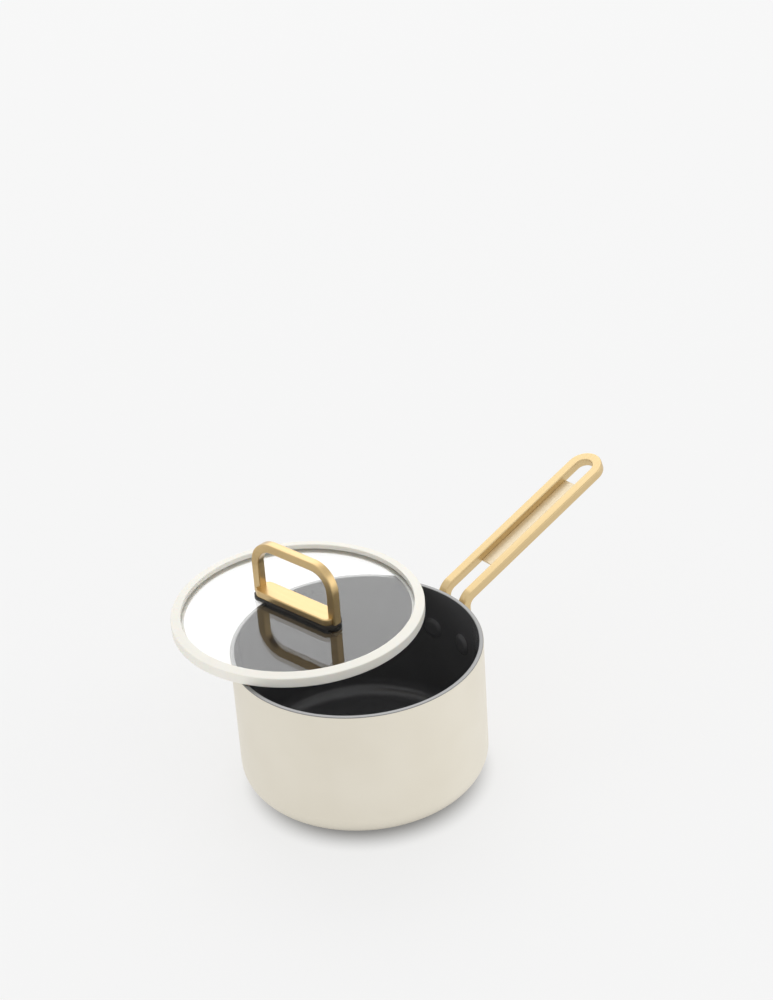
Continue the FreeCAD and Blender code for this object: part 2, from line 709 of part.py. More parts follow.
def seat_on_pan(piece):
    """Turn a lid piece about the lid's axis and set the lid down ajar on the rim."""
    drive(piece, "Placement.Base.x", LID_SHIFT + " * cos(lid_way)")
    drive(piece, "Placement.Base.y", LID_SHIFT + " * sin(lid_way)")
    drive(piece, "Placement.Base.z", "pan_height + lid_gap")
    drive(piece, "Placement.Rotation.Angle", "lid_turn")


# ---------------------------------------------------------------- assembly and output

bores = rivet_bores()
pieces = [vessel(bores), exterior_coat(bores), nonstick_lining(bores), induction_disc()]
pieces += [pan_handle(), handle_panel(), handle_bracket(bores), handle_rivets()]
lid_pieces = [lid_rim(), lid_glass(), lid_handle(), lid_gasket()]
lid_pieces += [lid_screws(), lid_washers(), lid_pads(), lid_bushes()]
for piece in lid_pieces:
    seat_on_pan(piece)
pieces += lid_pieces
doc.recompute()

for thing in doc.Objects:
    if "Invalid" in thing.State or "Error" in thing.State:
        raise RuntimeError("%s did not build: %s" % (thing.Name, thing.State))
for piece in pieces:
    piece.Label = piece.Name
    if piece.Shape.isNull() or not piece.Shape.isValid():
        raise RuntimeError(piece.Label + " has no valid shape")

os.makedirs("parts", exist_ok=True)
for piece in pieces:
    piece.Shape.exportStep("parts/%s.step" % piece.Label)
    print("%-18s %10.1f mm3  %d solid(s)" % (piece.Label, piece.Shape.Volume, len(piece.Shape.Solids)))
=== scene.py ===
"""Looks for the saucepan with a glass lid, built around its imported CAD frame.

Metres throughout, in the CAD model's own frame: origin at the centre of the base on the surface
it stands on, +Z up, the pan handle along +X.  Turned pieces are lathed, the handle is swept,
and the rest keep their CAD shape with materials of their own.
"""

import math

import bmesh
import bpy
from mathutils import Matrix, Vector


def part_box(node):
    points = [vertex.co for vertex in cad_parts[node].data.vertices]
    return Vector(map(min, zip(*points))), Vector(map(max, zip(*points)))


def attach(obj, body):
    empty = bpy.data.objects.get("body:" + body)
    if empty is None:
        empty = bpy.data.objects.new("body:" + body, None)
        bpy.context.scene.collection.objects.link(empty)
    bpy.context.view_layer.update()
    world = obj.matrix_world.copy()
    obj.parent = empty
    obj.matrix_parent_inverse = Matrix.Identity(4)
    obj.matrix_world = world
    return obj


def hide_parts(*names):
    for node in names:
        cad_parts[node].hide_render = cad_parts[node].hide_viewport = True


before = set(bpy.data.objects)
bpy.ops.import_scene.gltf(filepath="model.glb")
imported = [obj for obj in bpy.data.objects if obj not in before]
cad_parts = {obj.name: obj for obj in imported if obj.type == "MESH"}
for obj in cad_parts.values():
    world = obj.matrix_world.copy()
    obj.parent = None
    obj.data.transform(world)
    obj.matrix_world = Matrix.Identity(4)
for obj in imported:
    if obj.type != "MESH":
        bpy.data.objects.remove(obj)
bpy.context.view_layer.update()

MM = 0.001

# ------------------------------------------------------------------ sizes, from the frame
pan_low, pan_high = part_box("pan_body")
coat_low, coat_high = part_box("exterior_coat")
lining_low, lining_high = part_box("nonstick_lining")
disc_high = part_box("induction_disc")[1]
rim_low, rim_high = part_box("lid_rim")
glass_low, glass_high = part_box("lid_glass")

RIM = pan_high.z
OUTSIDE = coat_high.x
METAL_OUT = pan_high.x
METAL_IN = lining_high.x
COAT = OUTSIDE - METAL_OUT
INSIDE = METAL_IN - COAT
METAL_FLOOR = lining_low.z
FLOOR = METAL_FLOOR + COAT
BASE = pan_low.z
UNDERSIDE = coat_low.z
DISC_RADIUS = disc_high.x
DISC_TOP = disc_high.z

BASE_ROUND = 15.7 * MM      # wall to base, outside
FLOOR_ROUND = 12.0 * MM     # wall to floor, inside
COAT_LAP = 3.0 * MM         # coat carried onto the flat of the base
RIM_BEVEL = 0.35 * MM       # the rim's machined edges
SKIN_EDGE = 0.08 * MM       # rounding where a skin ends
DISC_FIT = 0.05 * MM        # air round the disc in its recess
DISC_EDGE = 0.12 * MM       # rounding of the rings turned in the disc
RING_FIRST = 22.0 * MM
RING_PITCH = 11.0 * MM
RING_COUNT = 4
RING_WIDTH = 1.2 * MM
RING_DEPTH = 0.3 * MM

HANDLE_TILT = math.radians(19.5)
HANDLE_REACH = 223.4 * MM   # pan axis to the far end, along the level
HANDLE_RISE = 1.2 * MM      # top line above the rim, at the wall
HANDLE_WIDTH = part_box("pan_handle")[1].y * 2
HANDLE_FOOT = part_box("pan_handle")[0].z
BAR_WIDTH = 6.7 * MM
BAR_THICK = 6.2 * MM
BAR_EDGE = 0.8 * MM
BAR_EDGE_STEPS = 6
BAR_END_ROUND = 0.5 * MM    # at the foot of each bar
BEND_RADIUS = 12.0 * MM     # outside of the bend at the wall
BEND_STEPS = 20
BOW_STEPS = 48
LEG_GAP = 0.3 * MM          # bar to the coated wall
PANEL_NEAR = 119.3 * MM     # pan axis to the near end, along the level
PANEL_FAR = 200.5 * MM
PANEL_THICK = 1.4 * MM
PANEL_FIT = 0.05 * MM       # strip to the bars, each side
PANEL_EDGE = 0.25 * MM
PANEL_EDGE_STEPS = 3
BRACKET_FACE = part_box("handle_bracket")[1].x
BRACKET_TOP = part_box("handle_bracket")[1].z
TOUCH = 0.01 * MM           # nearer than this counts as on the same face

RIVET_ANGLE = math.radians(10.5)
RIVET_DROP = 31.0 * MM      # rim to the rivet's axis
RIVET_HEAD = 7.2 * MM
RIVET_HEAD_HIGH = 2.3 * MM
RIVET_HEAD_ROUND = 3.5 * MM
RIVET_SKIRT_ROUND = 0.5 * MM
RIVET_TAIL = 5.0 * MM
RIVET_TAIL_HIGH = 2.0 * MM
RIVET_TAIL_ROUND = 1.2 * MM
RIVET_TAIL_EDGE = 0.2 * MM
RIVET_SHANK = 3.0 * MM
RIVET_TURNS = 96

LID_CENTRE = (rim_low + rim_high) / 2
LID_RADIUS = (rim_high.x - rim_low.x) / 2
LID_FOOT = rim_low.z
LID_TOP = rim_high.z
LID_CROWN = 1.3 * MM        # fall of the rim's top from the lip to the outer edge
LID_OUTER_TOP = LID_TOP - LID_CROWN
GLASS_RADIUS = (glass_high.x - glass_low.x) / 2
GLASS_FOOT = glass_low.z
GLASS_TOP = glass_high.z
LIP_INNER = GLASS_RADIUS - 4.1 * MM     # where the upper lip ends on the glass
LIP_UNDER = GLASS_RADIUS - 6.0 * MM     # where the lower lip ends
LIP_ROUND = 0.5 * MM
GLASS_AIR = 0.03 * MM       # between the glass and the lips
GLASS_FIT = 0.05 * MM       # between the glass's edge and its channel
LID_EDGE = 0.8 * MM
LID_TURN = math.radians(97.6)

TURNS = 288                 # facets round a lathed piece
CORNER_STEPS = 5            # fewest facets on a rounded corner
FACET = 1.2 * MM            # longest facet on a rounded corner
ON_AXIS = 1e-7              # a smaller radius than this is the axis itself
SHARP_ANGLE = math.radians(35)
FLAT_WEIGHT = 90            # how firmly large faces keep their own normals


# ------------------------------------------------------------------ mesh helpers
def rounded(corners, steps=CORNER_STEPS):
    """Points of an outline whose corners (a, b, radius) are turned into arcs."""
    points = []
    count = len(corners)
    for index, (a, b, radius) in enumerate(corners):
        here = Vector((a, b))
        before = Vector(corners[index - 1][:2]) - here
        after = Vector(corners[(index + 1) % count][:2]) - here
        if radius <= 0:
            points.append(here)
            continue
        before.normalize()
        after.normalize()
        half = before.angle(after) / 2
        middle = here + (before + after).normalized() * (radius / math.sin(half))
        start = here + before * (radius / math.tan(half)) - middle
        finish = here + after * (radius / math.tan(half)) - middle
        turn = math.atan2(start.x * finish.y - start.y * finish.x, start.dot(finish))
        many = max(steps, round(abs(turn) * radius / FACET))
        for step in range(many + 1):
            angle = turn * step / many
            points.append(middle + Matrix.Rotation(angle, 2) @ start)
    return [(point.x, point.y) for point in points]


def rounded_box(half_a, half_b, radius, steps=CORNER_STEPS):
    """A rectangle with round corners, about its own centre."""
    return rounded([(half_a, -half_b, radius), (half_a, half_b, radius),
                    (-half_a, half_b, radius), (-half_a, -half_b, radius)], steps)


def make_piece(name, points, faces, material):
    """A closed smooth-shaded mesh with outward normals, its flat faces kept flat."""
    mesh = bpy.data.meshes.new(name)
    mesh.from_pydata(points, [], faces)
    work = bmesh.new()
    work.from_mesh(mesh)
    bmesh.ops.recalc_face_normals(work, faces=work.faces)
    for face in work.faces:
        face.smooth = True
    for edge in work.edges:
        edge.smooth = edge.calc_face_angle(0) < SHARP_ANGLE
    work.to_mesh(mesh)
    work.free()
    mesh.materials.append(material)
    piece = bpy.data.objects.new(name, mesh)
    bpy.context.scene.collection.objects.link(piece)
    normals = piece.modifiers.new("flat faces", "WEIGHTED_NORMAL")
    normals.keep_sharp = True
    normals.weight = FLAT_WEIGHT
    return piece


def lathe(name, outline, material, turns=TURNS):
    """Turn a closed outline of (radius, height) points about the Z axis."""
    points = []
    rings = []
    for radius, height in outline:
        if radius < ON_AXIS:
            rings.append([len(points)])
            points.append((0, 0, height))
            continue
        rings.append(list(range(len(points), len(points) + turns)))
        for step in range(turns):
            angle = 2 * math.pi * step / turns
            points.append((radius * math.cos(angle), radius * math.sin(angle), height))
    faces = []
    for index, ring in enumerate(rings):
        following = rings[(index + 1) % len(rings)]
        if len(ring) == 1 and len(following) == 1:
            continue
        for step in range(turns):
            onward = (step + 1) % turns
            if len(ring) == 1:
                faces.append((ring[0], following[step], following[onward]))
            elif len(following) == 1:
                faces.append((ring[step], ring[onward], following[0]))
            else:
                faces.append((ring[step], ring[onward], following[onward], following[step]))
    return make_piece(name, points, faces, material)


def sweep(name, stations, material):
    """Skin a run of stations, each (centre, side, up, section), and cap both ends."""
    points = []
    for centre, side, up, section in stations:
        points += [centre + side * a + up * b for a, b in section]
    around = len(stations[0][3])
    faces = [tuple(range(around))]
    for index in range(len(stations) - 1):
        base = index * around
        for step in range(around):
            onward = (step + 1) % around
            faces.append((base + step, base + onward, base + around + onward, base + around + step))
    faces.append(tuple(range(len(points) - around, len(points))))
    return make_piece(name, points, faces, material)


def settle(piece, body, slot, *nodes):
    """Ride a new piece on its body, in place of the CAD nodes that it stands for."""
    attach(piece, body)
    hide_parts(*nodes)
    return piece


# ------------------------------------------------------------------ material helpers
NOISE_LOW = 0.3             # the part of a noise's range that roughness follows
NOISE_HIGH = 0.7


class Finish:
    """A node material being put together around one Principled shader."""

    def __init__(self, name, **plain):
        self.material = bpy.data.materials.new(name)
        self.material.use_nodes = True
        self.tree = self.material.node_tree
        self.shader = self.tree.nodes["Principled BSDF"]
        for socket, value in plain.items():
            self.shader.inputs[socket.replace("_", " ")].default_value = value
        self.place = self.tree.nodes.new("ShaderNodeTexCoord").outputs["Object"]

    def node(self, kind, **settings):
        made = self.tree.nodes.new("ShaderNode" + kind)
        for setting, value in settings.items():
            setattr(made, setting, value)
        return made

    def link(self, source, target):
        self.tree.links.new(source, target)

    def math(self, operation, first, second=None):
        made = self.node("Math", operation=operation)
        for socket, value in zip(made.inputs, (first, second)):
            if value is None:
                continue
            if isinstance(value, (int, float)):
                socket.default_value = value
            else:
                self.link(value, socket)
        return made.outputs[0]

    def stretched(self, turn, scale):
        """Object coordinates turned, then squeezed, so that a grain runs one way."""
        made = self.node("Mapping", vector_type="TEXTURE")
        made.inputs["Rotation"].default_value = turn
        self.link(self.place, made.inputs["Vector"])
        squeeze = self.node("VectorMath", operation="MULTIPLY")
        self.link(made.outputs[0], squeeze.inputs[0])
        squeeze.inputs[1].default_value = scale
        return squeeze.outputs[0]

    def turned(self, centre):
        """Coordinates (radius, height, 0) about an upright axis, for lathe lines."""
        shift = self.node("VectorMath", operation="SUBTRACT")
        self.link(self.place, shift.inputs[0])
        shift.inputs[1].default_value = centre
        apart = self.node("SeparateXYZ")
        self.link(shift.outputs[0], apart.inputs[0])
        across = self.math("MULTIPLY", apart.outputs["X"], apart.outputs["X"])
        along = self.math("MULTIPLY", apart.outputs["Y"], apart.outputs["Y"])
        radius = self.math("SQRT", self.math("ADD", across, along))
        joined = self.node("CombineXYZ")
        self.link(radius, joined.inputs[0])
        self.link(apart.outputs["Z"], joined.inputs[1])
        return joined.outputs[0]

    def noise(self, vector, scale, detail=3.0, roughness=0.55):
        made = self.node("TexNoise")
        self.link(vector, made.inputs["Vector"])
        made.inputs["Scale"].default_value = scale
        made.inputs["Detail"].default_value = detail
        made.inputs["Roughness"].default_value = roughness
        return made.outputs["Fac"]

    def colours(self, source, first, second, from_low=0.35, from_high=0.65):
        """Blend two colours by a noise."""
        made = self.node("ValToRGB")
        self.link(source, made.inputs["Fac"])
        ramp = made.color_ramp.elements
        ramp[0].position = from_low
        ramp[1].position = from_high
        ramp[0].color = (*first, 1)
        ramp[1].color = (*second, 1)
        self.link(made.outputs["Color"], self.shader.inputs["Base Color"])

    def rough(self, source, low, high):
        """Spread the middle of a noise over a range of roughness."""
        made = self.node("MapRange")
        self.link(source, made.inputs["Value"])
        for socket, value in (("From Min", NOISE_LOW), ("From Max", NOISE_HIGH), ("To Min", low),
                              ("To Max", high)):
            made.inputs[socket].default_value = value
        self.link(made.outputs["Result"], self.shader.inputs["Roughness"])

    def bump(self, source, distance, onto=None):
        """Raise the surface by a noise, onto the normals of another bump if one is given."""
        made = self.node("Bump")
        made.inputs["Strength"].default_value = 1.0
        made.inputs["Distance"].default_value = distance
        self.link(source, made.inputs["Height"])
        if onto is not None:
            self.link(onto, made.inputs["Normal"])
        self.link(made.outputs["Normal"], self.shader.inputs["Normal"])
        return made.outputs["Normal"]


# ------------------------------------------------------------------ materials
PAN_AXIS = (0.0, 0.0, 0.0)


def cream_coat():
    """Satin sprayed coat: a soft orange peel and a fine tooth."""
    made = Finish("cream_coat", Specular_IOR_Level=0.45, Coat_Weight=0.15, Coat_Roughness=0.3)
    drift = made.noise(made.place, 18.0, 2.0)
    made.colours(drift, (0.750, 0.700, 0.588), (0.778, 0.730, 0.622))
    tooth = made.noise(made.place, 5200.0, 2.0)
    made.rough(tooth, 0.40, 0.50)
    peel = made.bump(made.noise(made.place, 620.0, 2.0), 0.012 * MM)
    made.bump(tooth, 0.002 * MM, onto=peel)
    return made.material


def bare_metal():
    """Aluminium faced on a lathe."""
    made = Finish("bare_metal", Metallic=1.0, Anisotropic=0.35)
    lines = made.noise(made.turned(PAN_AXIS), 5200.0, 4.0, 0.7)
    made.colours(lines, (0.225, 0.225, 0.225), (0.31, 0.31, 0.31))
    made.rough(lines, 0.32, 0.48)
    made.bump(lines, 0.006 * MM)
    return made.material


def nonstick(name, low, high):
    """Dark ceramic nonstick: satin, faintly flecked over turned metal."""
    made = Finish(name, Specular_IOR_Level=0.42)
    fleck = made.noise(made.place, 2600.0, 3.0, 0.7)
    made.colours(fleck, (0.090, 0.090, 0.093), (0.112, 0.112, 0.115), 0.45, 0.75)
    made.rough(made.noise(made.place, 900.0, 2.0), low, high)
    lines = made.bump(made.noise(made.turned(PAN_AXIS), 1100.0, 2.0), 0.006 * MM)
    made.bump(fleck, 0.006 * MM, onto=lines)
    return made.material


def base_steel():
    """Stainless steel with clear turning lines."""
    made = Finish("base_steel", Metallic=1.0, Anisotropic=0.5)
    lines = made.noise(made.turned(PAN_AXIS), 3800.0, 5.0, 0.75)
    made.colours(lines, (0.46, 0.45, 0.44), (0.62, 0.61, 0.60))
    made.rough(lines, 0.24, 0.42)
    made.bump(lines, 0.010 * MM)
    return made.material


def gold(name, tilt=0.0, turn=0.0, first=(0.660, 0.500, 0.262), second=(0.715, 0.552, 0.308),
         low=0.34, high=0.44, lacquer=0.0):
    """Satin gold plating: blasted, with a faint brushing along the piece."""
    made = Finish(name, Metallic=1.0, Coat_Weight=lacquer, Coat_Roughness=0.28)
    brushed = made.noise(made.stretched((0.0, -tilt, turn), (22.0, 1500.0, 1500.0)), 1.0, 3.0, 0.6)
    grain = made.noise(made.place, 6500.0, 2.0)
    made.colours(brushed, first, second, 0.3, 0.7)
    made.rough(grain, low, high)
    lines = made.bump(brushed, 0.003 * MM)
    made.bump(grain, 0.003 * MM, onto=lines)
    return made.material


def cream_silicone():
    """Matt moulded silicone with a fine tooth and a faint drift in its tone."""
    made = Finish("cream_silicone", Specular_IOR_Level=0.4, Subsurface_Weight=0.25,
                  Subsurface_Scale=0.002)
    made.shader.inputs["Subsurface Radius"].default_value = (1.0, 0.8, 0.6)
    made.colours(made.noise(made.place, 35.0, 2.0), (0.835, 0.816, 0.748), (0.860, 0.842, 0.778))
    tooth = made.noise(made.place, 3600.0, 3.0, 0.65)
    made.rough(tooth, 0.46, 0.60)
    made.bump(tooth, 0.008 * MM)
    return made.material


def dark_silicone():
    """Near-black matt silicone for the gasket, pads and sleeves."""
    made = Finish("dark_silicone", Specular_IOR_Level=0.45)
    tooth = made.noise(made.place, 3600.0, 3.0, 0.65)
    made.colours(tooth, (0.020, 0.018, 0.015), (0.032, 0.029, 0.025))
    made.rough(tooth, 0.38, 0.55)
    made.bump(tooth, 0.008 * MM)
    return made.material


def clear_glass():
    """Polished glass with the faintest smears; lamps shine through it."""
    made = Finish("clear_glass", Transmission_Weight=1.0, IOR=1.5)
    smear = made.noise(made.stretched((0.0, 0.0, 0.6), (30.0, 95.0, 60.0)), 1.0, 4.0, 0.6)
    made.colours(smear, (0.985, 0.990, 0.985), (1.0, 1.0, 1.0))
    made.rough(smear, 0.0, 0.012)
    path = made.node("LightPath")
    through = made.node("BsdfTransparent")
    mix = made.node("MixShader")
    made.link(path.outputs["Is Shadow Ray"], mix.inputs["Fac"])
    made.link(made.shader.outputs["BSDF"], mix.inputs[1])
    made.link(through.outputs["BSDF"], mix.inputs[2])
    made.link(mix.outputs[0], made.tree.nodes["Material Output"].inputs["Surface"])
    return made.material


def screw_steel():
    """Plain steel for the screws and washers, turned about the lid's axis."""
    made = Finish("screw_steel", Metallic=1.0)
    lines = made.noise(made.turned(tuple(LID_CENTRE)), 2400.0, 3.0, 0.6)
    made.colours(lines, (0.52, 0.51, 0.50), (0.66, 0.65, 0.64))
    made.rough(lines, 0.22, 0.36)
    made.bump(lines, 0.003 * MM)
    return made.material


CREAM = cream_coat()
ALUMINIUM = bare_metal()
NONSTICK = nonstick("nonstick", 0.15, 0.21)
DARK_HEADS = nonstick("dark_heads", 0.42, 0.52)
STEEL = base_steel()
GOLD = gold("gold", tilt=HANDLE_TILT)
GOLD_PANEL = gold("gold_panel", tilt=HANDLE_TILT, first=(0.76, 0.655, 0.47),
                  second=(0.84, 0.735, 0.56), low=0.42, high=0.54)
GOLD_KNOB = gold("gold_knob", turn=LID_TURN, first=(0.575, 0.405, 0.180),
                 second=(0.630, 0.455, 0.215), low=0.26, high=0.36, lacquer=0.6)
SILICONE = cream_silicone()
SEAL = dark_silicone()
GLASS = clear_glass()
SCREWS = screw_steel()


# ------------------------------------------------------------------ the pan
def pan_shell():
    """The aluminium body: bare on its rim, on its step at the disc and inside the recess."""
    recess = DISC_RADIUS + DISC_FIT
    outline = rounded([
        (0, DISC_TOP, 0), (recess, DISC_TOP, 0), (recess, BASE, 0),
        (METAL_OUT, BASE, BASE_ROUND - COAT), (METAL_OUT, RIM, RIM_BEVEL),
        (METAL_IN, RIM, RIM_BEVEL), (METAL_IN, METAL_FLOOR, FLOOR_ROUND), (0, METAL_FLOOR, 0),
    ])
    return settle(lathe("pan_shell", outline, ALUMINIUM), "pan", "bare_metal", "pan_body")


def coat_skin():
    """The cream coat, from the flat of the base up to the rim."""
    start = OUTSIDE - BASE_ROUND - COAT_LAP
    top = coat_high.z
    outline = rounded([
        (start, UNDERSIDE, SKIN_EDGE), (OUTSIDE, UNDERSIDE, BASE_ROUND), (OUTSIDE, top, SKIN_EDGE),
        (METAL_OUT, top, 0), (METAL_OUT, BASE, BASE_ROUND - COAT), (start, BASE, 0),
    ])
    return settle(lathe("cream_coat_skin", outline, CREAM), "pan", "cream_coat", "exterior_coat")


def nonstick_skin():
    """The dark lining, over the floor and up the inside of the wall."""
    top = lining_high.z
    outline = rounded([
        (0, METAL_FLOOR, 0), (METAL_IN, METAL_FLOOR, FLOOR_ROUND), (METAL_IN, top, 0),
        (INSIDE, top, SKIN_EDGE), (INSIDE, FLOOR, FLOOR_ROUND - COAT), (0, FLOOR, 0),
    ])
    return settle(lathe("nonstick_skin", outline, NONSTICK), "pan", "nonstick", "nonstick_lining")


def base_disc():
    """The steel disc under the base, with round-bottomed rings turned in it."""
    corners = [(0, 0, 0)]
    edge = DISC_EDGE
    for ring in range(RING_COUNT):
        radius = RING_FIRST + RING_PITCH * ring
        corners += [(radius, 0, edge), (radius + edge, RING_DEPTH, edge),
                    (radius + RING_WIDTH - edge, RING_DEPTH, edge), (radius + RING_WIDTH, 0, edge)]
    corners += [(DISC_RADIUS, 0, edge * 2), (DISC_RADIUS, DISC_TOP, 0), (0, DISC_TOP, 0)]
    disc = lathe("base_disc", rounded(corners), STEEL)
    return settle(disc, "pan", "base_steel", "induction_disc")


# ------------------------------------------------------------------ the pan handle
SLOPE = Vector((math.cos(HANDLE_TILT), 0, math.sin(HANDLE_TILT)))
SLOPE_UP = Vector((-math.sin(HANDLE_TILT), 0, math.cos(HANDLE_TILT)))
SIDEWAYS = Vector((0, 1, 0))
TOP_START = Vector((OUTSIDE, 0, RIM + HANDLE_RISE))


def bar_section(inset=0.0):
    """A bar's square section, drawn in by the inset at a rounded end."""
    return rounded_box(BAR_WIDTH / 2 - inset, BAR_THICK / 2 - inset, BAR_EDGE, BAR_EDGE_STEPS)


def half_loop(sign):
    """Stations of one bar from its foot to the start of the bow, on one side of the handle."""
    outward = SIDEWAYS * sign
    across = outward * (HANDLE_WIDTH - BAR_WIDTH) / 2
    leg_x = OUTSIDE + LEG_GAP + BAR_THICK / 2
    bend = BEND_RADIUS - BAR_THICK / 2
    turn = math.pi / 2 - HANDLE_TILT
    # The bar's middle line follows the slope half a thickness under the top line.
    middle = TOP_START - SLOPE_UP * BAR_THICK / 2
    corner = middle + SLOPE * ((leg_x - middle.x) / SLOPE.x)
    setback = bend * math.tan(turn / 2)
    pivot = Vector((leg_x + bend, 0, corner.z - setback))
    stations = []
    for height, inset in ((0, BAR_END_ROUND), (BAR_END_ROUND, 0)):
        stations.append((Vector((leg_x, 0, HANDLE_FOOT + height)) + across, outward,
                         Vector((-1, 0, 0)), bar_section(inset)))
    for height in (BRACKET_TOP - TOUCH, BRACKET_TOP + TOUCH):
        stations.append((Vector((leg_x, 0, height)) + across, outward, Vector((-1, 0, 0)),
                         bar_section()))
    for step in range(BEND_STEPS + 1):
        angle = turn * step / BEND_STEPS
        up = Vector((-math.cos(angle), 0, math.sin(angle)))
        stations.append((pivot + up * bend + across, outward, up, bar_section()))
    return stations


def pan_handle():
    """One square bar, up the wall, out along the slope, round the bow and back."""
    radius = (HANDLE_WIDTH - BAR_WIDTH) / 2
    centre = TOP_START - SLOPE_UP * BAR_THICK / 2
    centre += SLOPE * ((HANDLE_REACH - OUTSIDE) / SLOPE.x - HANDLE_WIDTH / 2)
    bow = []
    for step in range(BOW_STEPS + 1):
        angle = math.pi * step / BOW_STEPS
        outward = SIDEWAYS * -math.cos(angle) + SLOPE * math.sin(angle)
        bow.append((centre + outward * radius, outward, SLOPE_UP, bar_section()))
    stations = half_loop(-1) + bow + half_loop(1)[::-1]
    piece = sweep("handle_bars", stations, GOLD)
    for vertex in piece.data.vertices:
        # Behind the bars' feet the bracket stands, so their backs end on its outer face.
        away = math.hypot(vertex.co.x, vertex.co.y)
        if vertex.co.z < BRACKET_TOP and away < BRACKET_FACE:
            vertex.co.x = math.sqrt(BRACKET_FACE ** 2 - vertex.co.y ** 2)
    return settle(piece, "pan", "gold", "pan_handle")


def handle_panel():
    """The thin strip between the bars, flush with their undersides."""
    near = PANEL_NEAR / SLOPE.x
    far = PANEL_FAR / SLOPE.x
    half_wide = HANDLE_WIDTH / 2 - BAR_WIDTH - PANEL_FIT
    edge = PANEL_EDGE
    axis_height = RIM + HANDLE_RISE - (OUTSIDE * SLOPE.z + BAR_THICK) / SLOPE.x
    start = Vector((0, 0, axis_height)) + SLOPE_UP * PANEL_THICK / 2
    stations = []
    for along, inset in ((near, edge), (near + edge, 0), (far - edge, 0), (far, edge)):
        section = rounded_box(half_wide - inset, PANEL_THICK / 2 - inset, edge, PANEL_EDGE_STEPS)
        stations.append((start + SLOPE * along, SIDEWAYS, SLOPE_UP, section))
    strip = sweep("handle_strip", stations, GOLD_PANEL)
    return settle(strip, "pan", "gold_panel", "handle_panel")


def rivet(name, sign):
    """A low domed head that bears on the lining, and a closed end on the bracket."""
    grip = BRACKET_FACE - INSIDE
    outline = rounded([
        (0, -RIVET_HEAD_HIGH, 0), (RIVET_HEAD * 0.72, -RIVET_HEAD_HIGH * 0.93, RIVET_HEAD_ROUND),
        (RIVET_HEAD, -RIVET_HEAD_HIGH * 0.25, RIVET_SKIRT_ROUND), (RIVET_HEAD, 0, 0),
        (RIVET_SHANK, 0, 0), (RIVET_SHANK, grip, 0), (RIVET_TAIL, grip, RIVET_TAIL_EDGE),
        (RIVET_TAIL * 0.9, grip + RIVET_TAIL_HIGH * 0.8, RIVET_TAIL_ROUND),
        (0, grip + RIVET_TAIL_HIGH, 0),
    ])
    piece = lathe(name, outline, DARK_HEADS, RIVET_TURNS)
    piece.data.materials.append(GOLD)
    for polygon in piece.data.polygons:
        if polygon.center.z > grip / 2:
            polygon.material_index = 1
    # Lay the axis level, then let the head's skirt follow the curve of the wall.
    lay = Matrix.Rotation(math.pi / 2, 4, "Y")
    piece.data.transform(Matrix.Translation((INSIDE, 0, 0)) @ lay)
    for vertex in piece.data.vertices:
        if abs(vertex.co.x - INSIDE) < TOUCH:
            vertex.co.x = math.sqrt(INSIDE ** 2 - vertex.co.y ** 2)
    turn = Matrix.Rotation(RIVET_ANGLE * sign, 4, "Z")
    piece.data.transform(Matrix.Translation((0, 0, RIM - RIVET_DROP)) @ turn)
    return settle(piece, "pan", "rivet_metal", "handle_rivets")


# ------------------------------------------------------------------ the lid
def lid_rim():
    """The silicone rim: its top falls from the lip on the glass to the rounded outer edge."""
    channel = GLASS_RADIUS + GLASS_FIT
    outline = rounded([
        (LIP_UNDER, LID_FOOT, LIP_ROUND * 0.6), (LID_RADIUS, LID_FOOT, LID_EDGE),
        (LID_RADIUS, LID_OUTER_TOP, LID_EDGE), (LIP_INNER, LID_TOP, LIP_ROUND),
        (LIP_INNER, GLASS_TOP, 0), (channel, GLASS_TOP, 0), (channel, GLASS_FOOT, 0),
        (LIP_UNDER, GLASS_FOOT, 0),
    ])
    piece = lathe("silicone_rim", outline, SILICONE)
    piece.data.transform(Matrix.Translation((LID_CENTRE.x, LID_CENTRE.y, 0)))
    return settle(piece, "lid", "cream_silicone", "lid_rim")


def lid_glass():
    """The glass disc, its edge ground round."""
    # A hair of air between glass and silicone lets light reach the lips through the glass.
    foot = GLASS_FOOT + GLASS_AIR
    top = GLASS_TOP - GLASS_AIR
    outline = rounded([
        (0, foot, 0), (GLASS_RADIUS, foot, LIP_ROUND), (GLASS_RADIUS, top, LIP_ROUND), (0, top, 0),
    ])
    piece = lathe("glass_disc", outline, GLASS)
    piece.data.transform(Matrix.Translation((LID_CENTRE.x, LID_CENTRE.y, 0)))
    return settle(piece, "lid", "clear_glass", "lid_glass")


KEPT_NODES = {
    "handle_bracket": GOLD,
    "lid_handle": GOLD_KNOB,
    "lid_gasket": SEAL,
    "lid_screws": SCREWS,
    "lid_washers": SCREWS,
    "lid_pads": SEAL,
    "lid_bushes": SEAL,
}


def dress_cad_nodes():
    """Give the CAD nodes that keep their shape their own materials."""
    for name, material in KEPT_NODES.items():
        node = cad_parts[name]
        if not node.data.materials:
            node.data.materials.append(material)
        for slot in node.material_slots:
            slot.material = material


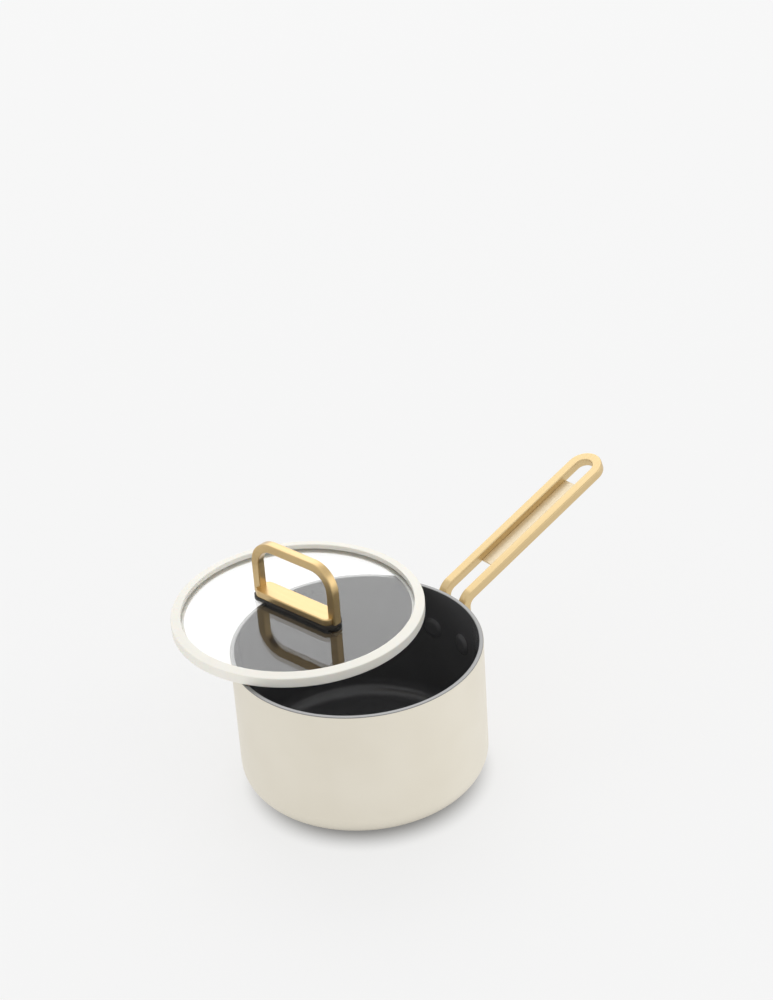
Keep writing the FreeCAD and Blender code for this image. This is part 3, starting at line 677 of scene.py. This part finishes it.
# ------------------------------------------------------------------ floor, light and camera
FLOOR_HALF = 12.0
FLOOR_GREY = (0.28, 0.28, 0.28, 1)
FLOOR_GLOW = 0.62
WORLD_GLOW = 0.92
WHITE = (1.0, 1.0, 1.0, 1)
SHADE_CENTRE = (-0.0048, -0.0082, 0.0)      # a little off the pan's axis
SHADE_INNER = 62.0 * MM     # the floor's glow is weakest up to here
SHADE_OUTER = 87.0 * MM     # and full from here
SHADE_DEPTH = 0.25          # weakest glow, as a share of the full one
LAMP_DISTANCE = 9.0
BACK_LAMP = {"elevation": math.radians(36), "width": 9.0, "height": 6.5, "watts": 215.0}
SIDE_LAMP = {"elevation": math.radians(16), "width": 4.0, "height": 6.0, "watts": 75.0}
SIDE_LAMP_TURN = math.radians(82)           # round from the camera
VIEW_AIM = Vector((0.0784, 0.0552, 0.1503))
VIEW_AZIMUTH = math.radians(-39.153)
VIEW_ELEVATION = math.radians(29.777)
VIEW_ROLL = math.radians(3.984)
VIEW_DISTANCE = 1.5335
VIEW_LENS = 81.56


def toward(azimuth, elevation):
    """The direction from the object to a place round it, 0 being along -Y."""
    level = math.cos(elevation)
    return Vector((math.sin(azimuth) * level, -math.cos(azimuth) * level, math.sin(elevation)))


def floor():
    """A pale floor that glows, so that it stays as light as the background."""
    material = bpy.data.materials.new("pale_floor")
    material.use_nodes = True
    shader = material.node_tree.nodes["Principled BSDF"]
    shader.inputs["Base Color"].default_value = FLOOR_GREY
    shader.inputs["Roughness"].default_value = 1.0
    shader.inputs["Specular IOR Level"].default_value = 0.0
    shader.inputs["Emission Color"].default_value = WHITE
    # The glow of the floor dies away under the pan, which leaves a soft shade round its foot.
    nodes = material.node_tree.nodes
    links = material.node_tree.links
    place = nodes.new("ShaderNodeTexCoord")
    away = nodes.new("ShaderNodeVectorMath")
    away.operation = "DISTANCE"
    away.inputs[1].default_value = SHADE_CENTRE
    glow = nodes.new("ShaderNodeMapRange")
    glow.interpolation_type = "SMOOTHSTEP"
    for socket, value in (("From Min", SHADE_INNER), ("From Max", SHADE_OUTER),
                          ("To Min", SHADE_DEPTH * FLOOR_GLOW), ("To Max", FLOOR_GLOW)):
        glow.inputs[socket].default_value = value
    links.new(place.outputs["Object"], away.inputs[0])
    links.new(away.outputs["Value"], glow.inputs["Value"])
    links.new(glow.outputs["Result"], shader.inputs["Emission Strength"])
    mesh = bpy.data.meshes.new("floor")
    half = FLOOR_HALF
    mesh.from_pydata([(-half, -half, 0), (half, -half, 0), (half, half, 0), (-half, half, 0)], [],
                     [(0, 1, 2, 3)])
    mesh.materials.append(material)
    plane = bpy.data.objects.new("floor", mesh)
    bpy.context.scene.collection.objects.link(plane)


def softbox(name, azimuth, elevation, width, height, watts):
    """A large area lamp that faces the object and stays out of the picture."""
    lamp = bpy.data.lights.new(name, "AREA")
    lamp.shape = "RECTANGLE"
    lamp.size = width
    lamp.size_y = height
    lamp.energy = watts
    holder = bpy.data.objects.new(name, lamp)
    away = toward(azimuth, elevation)
    holder.location = away * LAMP_DISTANCE
    holder.rotation_euler = away.to_track_quat("Z", "Y").to_euler()
    holder.visible_camera = False
    bpy.context.scene.collection.objects.link(holder)


def light():
    """An even white world, a softbox behind for the glass and one at the side."""
    world = bpy.data.worlds.new("studio")
    world.use_nodes = True
    background = world.node_tree.nodes["Background"]
    background.inputs["Color"].default_value = WHITE
    background.inputs["Strength"].default_value = WORLD_GLOW
    bpy.context.scene.world = world
    softbox("back_softbox", VIEW_AZIMUTH + math.pi, **BACK_LAMP)
    softbox("side_softbox", VIEW_AZIMUTH + SIDE_LAMP_TURN, **SIDE_LAMP)


def camera():
    lens = bpy.data.cameras.new("camera")
    lens.lens = VIEW_LENS
    holder = bpy.data.objects.new("camera", lens)
    away = toward(VIEW_AZIMUTH, VIEW_ELEVATION)
    level = away.to_track_quat("Z", "Y").to_matrix().to_4x4()
    roll = Matrix.Rotation(-VIEW_ROLL, 4, "Z")
    holder.matrix_world = Matrix.Translation(VIEW_AIM + away * VIEW_DISTANCE) @ level @ roll
    bpy.context.scene.collection.objects.link(holder)
    bpy.context.scene.camera = holder


camera()
floor()
light()
bpy.context.scene.view_settings.view_transform = "Standard"

pan_shell()
coat_skin()
nonstick_skin()
base_disc()
pan_handle()
handle_panel()
rivet("handle_rivet_right", -1)
rivet("handle_rivet_left", 1)
lid_rim()
lid_glass()
dress_cad_nodes()
